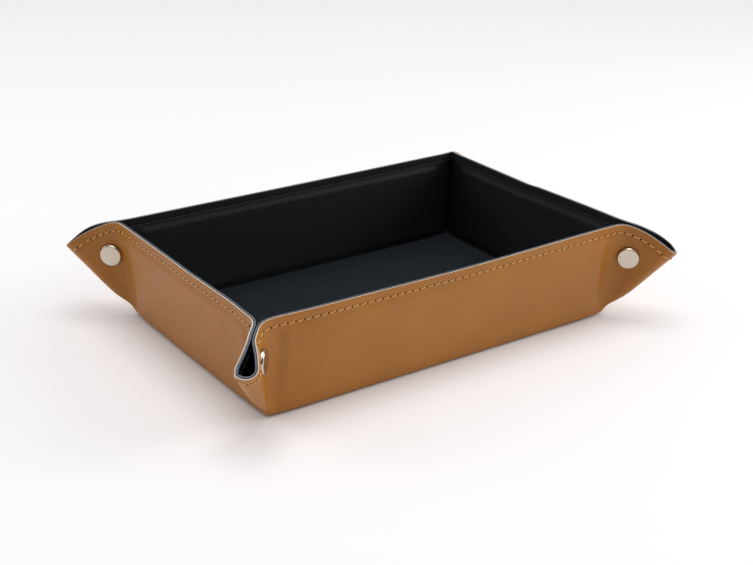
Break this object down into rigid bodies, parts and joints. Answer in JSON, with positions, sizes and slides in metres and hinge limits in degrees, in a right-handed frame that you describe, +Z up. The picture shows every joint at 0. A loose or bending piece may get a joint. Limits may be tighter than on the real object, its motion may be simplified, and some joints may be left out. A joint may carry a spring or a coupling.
{
  "type": "valet tray",
  "caption": "Folding valet tray: four leather walls with stiff boards, held up by pinched corner ears that snap shut and open flat.",
  "frame": {"origin": "under the middle of the base, on the surface that the tray stands on", "axes": "+Z up; +X along the long walls, towards the right wall; +Y towards the back wall"},
  "size_m": [0.2304, 0.1664, 0.0454],
  "materials": {
    "tan_leather": "smooth tan leather with a fine grain and a low sheen",
    "black_lining": "matte black lining",
    "floor_lining": "matte charcoal lining on the floor",
    "board": "grey-brown stiffener board, hidden between the leathers",
    "nickel": "polished nickel plate"
  },
  "bodies": {
    "root": {"base_cover": "tan_leather", "base_lining": "floor_lining", "base_board": "board"},
    "front_wall": {"front_wall_cover": "tan_leather", "front_wall_lining": "black_lining", "front_wall_board": "board"},
    "right_wall": {"right_wall_cover": "tan_leather", "right_wall_lining": "black_lining", "right_wall_board": "board"},
    "back_wall": {"back_wall_cover": "tan_leather", "back_wall_lining": "black_lining", "back_wall_board": "board"},
    "left_wall": {"left_wall_cover": "tan_leather", "left_wall_lining": "black_lining", "left_wall_board": "board"},
    "front_wall_left_ear": {"front_wall_left_ear_cover": "tan_leather", "front_wall_left_ear_lining": "black_lining", "front_wall_left_snap": "nickel"},
    "front_wall_left_tip": {"front_wall_left_tip_cover": "tan_leather", "front_wall_left_tip_lining": "black_lining"},
    "left_wall_front_ear": {"left_wall_front_ear_cover": "tan_leather", "left_wall_front_ear_lining": "black_lining", "left_wall_front_snap": "nickel"},
    "left_wall_front_tip": {"left_wall_front_tip_cover": "tan_leather", "left_wall_front_tip_lining": "black_lining"},
    "right_wall_front_ear": {"right_wall_front_ear_cover": "tan_leather", "right_wall_front_ear_lining": "black_lining", "right_wall_front_snap": "nickel"},
    "right_wall_front_tip": {"right_wall_front_tip_cover": "tan_leather", "right_wall_front_tip_lining": "black_lining"},
    "front_wall_right_ear": {"front_wall_right_ear_cover": "tan_leather", "front_wall_right_ear_lining": "black_lining", "front_wall_right_snap": "nickel"},
    "front_wall_right_tip": {"front_wall_right_tip_cover": "tan_leather", "front_wall_right_tip_lining": "black_lining"},
    "back_wall_right_ear": {"back_wall_right_ear_cover": "tan_leather", "back_wall_right_ear_lining": "black_lining", "back_wall_right_snap": "nickel"},
    "back_wall_right_tip": {"back_wall_right_tip_cover": "tan_leather", "back_wall_right_tip_lining": "black_lining"},
    "right_wall_back_ear": {"right_wall_back_ear_cover": "tan_leather", "right_wall_back_ear_lining": "black_lining", "right_wall_back_snap": "nickel"},
    "right_wall_back_tip": {"right_wall_back_tip_cover": "tan_leather", "right_wall_back_tip_lining": "black_lining"},
    "left_wall_back_ear": {"left_wall_back_ear_cover": "tan_leather", "left_wall_back_ear_lining": "black_lining", "left_wall_back_snap": "nickel"},
    "left_wall_back_tip": {"left_wall_back_tip_cover": "tan_leather", "left_wall_back_tip_lining": "black_lining"},
    "back_wall_left_ear": {"back_wall_left_ear_cover": "tan_leather", "back_wall_left_ear_lining": "black_lining", "back_wall_left_snap": "nickel"},
    "back_wall_left_tip": {"back_wall_left_tip_cover": "tan_leather", "back_wall_left_tip_lining": "black_lining"}
  },
  "joints": [
    {"name": "front_wall_fold", "type": "hinge", "parent": "root", "child": "front_wall", "pos_m": [0, -0.059, 0.00165], "axis": [1, 0, 0], "range_deg": [0, 83]},
    {"name": "right_wall_fold", "type": "hinge", "parent": "root", "child": "right_wall", "pos_m": [0.091, 0, 0.00165], "axis": [0, 1, 0], "range_deg": [0, 83]},
    {"name": "back_wall_fold", "type": "hinge", "parent": "root", "child": "back_wall", "pos_m": [0, 0.059, 0.00165], "axis": [-1, 0, 0], "range_deg": [0, 83]},
    {"name": "left_wall_fold", "type": "hinge", "parent": "root", "child": "left_wall", "pos_m": [-0.091, 0, 0.00165], "axis": [0, -1, 0], "range_deg": [0, 83]},
    {"name": "front_wall_left_ear_fold", "type": "hinge", "parent": "front_wall", "child": "front_wall_left_ear", "pos_m": [-0.091, -0.059, 0.00165], "axis": [0.0801, 0.1377, -0.9872], "range_deg": [0, 54]},
    {"name": "front_wall_left_tip_fold", "type": "hinge", "parent": "front_wall_left_ear", "child": "front_wall_left_tip", "pos_m": [-0.091, -0.059, 0.00165], "axis": [-0.3904, -0.5262, 0.7554], "range_deg": [0, 50]},
    {"name": "left_wall_front_ear_fold", "type": "hinge", "parent": "left_wall", "child": "left_wall_front_ear", "pos_m": [-0.091, -0.059, 0.00165], "axis": [-0.1377, -0.0801, 0.9872], "range_deg": [0, 54]},
    {"name": "left_wall_front_tip_fold", "type": "hinge", "parent": "left_wall_front_ear", "child": "left_wall_front_tip", "pos_m": [-0.091, -0.059, 0.00165], "axis": [0.5262, 0.3904, -0.7554], "range_deg": [0, 50]},
    {"name": "right_wall_front_ear_fold", "type": "hinge", "parent": "right_wall", "child": "right_wall_front_ear", "pos_m": [0.091, -0.059, 0.00165], "axis": [-0.1377, 0.0801, -0.9872], "range_deg": [0, 54]},
    {"name": "right_wall_front_tip_fold", "type": "hinge", "parent": "right_wall_front_ear", "child": "right_wall_front_tip", "pos_m": [0.091, -0.059, 0.00165], "axis": [0.5262, -0.3904, 0.7554], "range_deg": [0, 50]},
    {"name": "front_wall_right_ear_fold", "type": "hinge", "parent": "front_wall", "child": "front_wall_right_ear", "pos_m": [0.091, -0.059, 0.00165], "axis": [0.0801, -0.1377, 0.9872], "range_deg": [0, 54]},
    {"name": "front_wall_right_tip_fold", "type": "hinge", "parent": "front_wall_right_ear", "child": "front_wall_right_tip", "pos_m": [0.091, -0.059, 0.00165], "axis": [-0.3904, 0.5262, -0.7554], "range_deg": [0, 50]},
    {"name": "back_wall_right_ear_fold", "type": "hinge", "parent": "back_wall", "child": "back_wall_right_ear", "pos_m": [0.091, 0.059, 0.00165], "axis": [-0.0801, -0.1377, -0.9872], "range_deg": [0, 54]},
    {"name": "back_wall_right_tip_fold", "type": "hinge", "parent": "back_wall_right_ear", "child": "back_wall_right_tip", "pos_m": [0.091, 0.059, 0.00165], "axis": [0.3904, 0.5262, 0.7554], "range_deg": [0, 50]},
    {"name": "right_wall_back_ear_fold", "type": "hinge", "parent": "right_wall", "child": "right_wall_back_ear", "pos_m": [0.091, 0.059, 0.00165], "axis": [0.1377, 0.0801, 0.9872], "range_deg": [0, 54]},
    {"name": "right_wall_back_tip_fold", "type": "hinge", "parent": "right_wall_back_ear", "child": "right_wall_back_tip", "pos_m": [0.091, 0.059, 0.00165], "axis": [-0.5262, -0.3904, -0.7554], "range_deg": [0, 50]},
    {"name": "left_wall_back_ear_fold", "type": "hinge", "parent": "left_wall", "child": "left_wall_back_ear", "pos_m": [-0.091, 0.059, 0.00165], "axis": [0.1377, -0.0801, -0.9872], "range_deg": [0, 54]},
    {"name": "left_wall_back_tip_fold", "type": "hinge", "parent": "left_wall_back_ear", "child": "left_wall_back_tip", "pos_m": [-0.091, 0.059, 0.00165], "axis": [-0.5262, 0.3904, 0.7554], "range_deg": [0, 50]},
    {"name": "back_wall_left_ear_fold", "type": "hinge", "parent": "back_wall", "child": "back_wall_left_ear", "pos_m": [-0.091, 0.059, 0.00165], "axis": [-0.0801, 0.1377, 0.9872], "range_deg": [0, 54]},
    {"name": "back_wall_left_tip_fold", "type": "hinge", "parent": "back_wall_left_ear", "child": "back_wall_left_tip", "pos_m": [-0.091, 0.059, 0.00165], "axis": [0.3904, -0.5262, -0.7554], "range_deg": [0, 50]}
  ],
  "couplings": [
    {"joint": "right_wall_fold", "follows": "front_wall_fold", "ratio": 1},
    {"joint": "back_wall_fold", "follows": "front_wall_fold", "ratio": 1},
    {"joint": "left_wall_fold", "follows": "front_wall_fold", "ratio": 1},
    {"joint": "front_wall_left_ear_fold", "follows": "front_wall_fold", "ratio": 0.65},
    {"joint": "front_wall_left_tip_fold", "follows": "front_wall_fold", "ratio": 0.6},
    {"joint": "left_wall_front_ear_fold", "follows": "front_wall_fold", "ratio": 0.65},
    {"joint": "left_wall_front_tip_fold", "follows": "front_wall_fold", "ratio": 0.6},
    {"joint": "right_wall_front_ear_fold", "follows": "front_wall_fold", "ratio": 0.65},
    {"joint": "right_wall_front_tip_fold", "follows": "front_wall_fold", "ratio": 0.6},
    {"joint": "front_wall_right_ear_fold", "follows": "front_wall_fold", "ratio": 0.65},
    {"joint": "front_wall_right_tip_fold", "follows": "front_wall_fold", "ratio": 0.6},
    {"joint": "back_wall_right_ear_fold", "follows": "front_wall_fold", "ratio": 0.65},
    {"joint": "back_wall_right_tip_fold", "follows": "front_wall_fold", "ratio": 0.6},
    {"joint": "right_wall_back_ear_fold", "follows": "front_wall_fold", "ratio": 0.65},
    {"joint": "right_wall_back_tip_fold", "follows": "front_wall_fold", "ratio": 0.6},
    {"joint": "left_wall_back_ear_fold", "follows": "front_wall_fold", "ratio": 0.65},
    {"joint": "left_wall_back_tip_fold", "follows": "front_wall_fold", "ratio": 0.6},
    {"joint": "back_wall_left_ear_fold", "follows": "front_wall_fold", "ratio": 0.65},
    {"joint": "back_wall_left_tip_fold", "follows": "front_wall_fold", "ratio": 0.6}
  ]
}
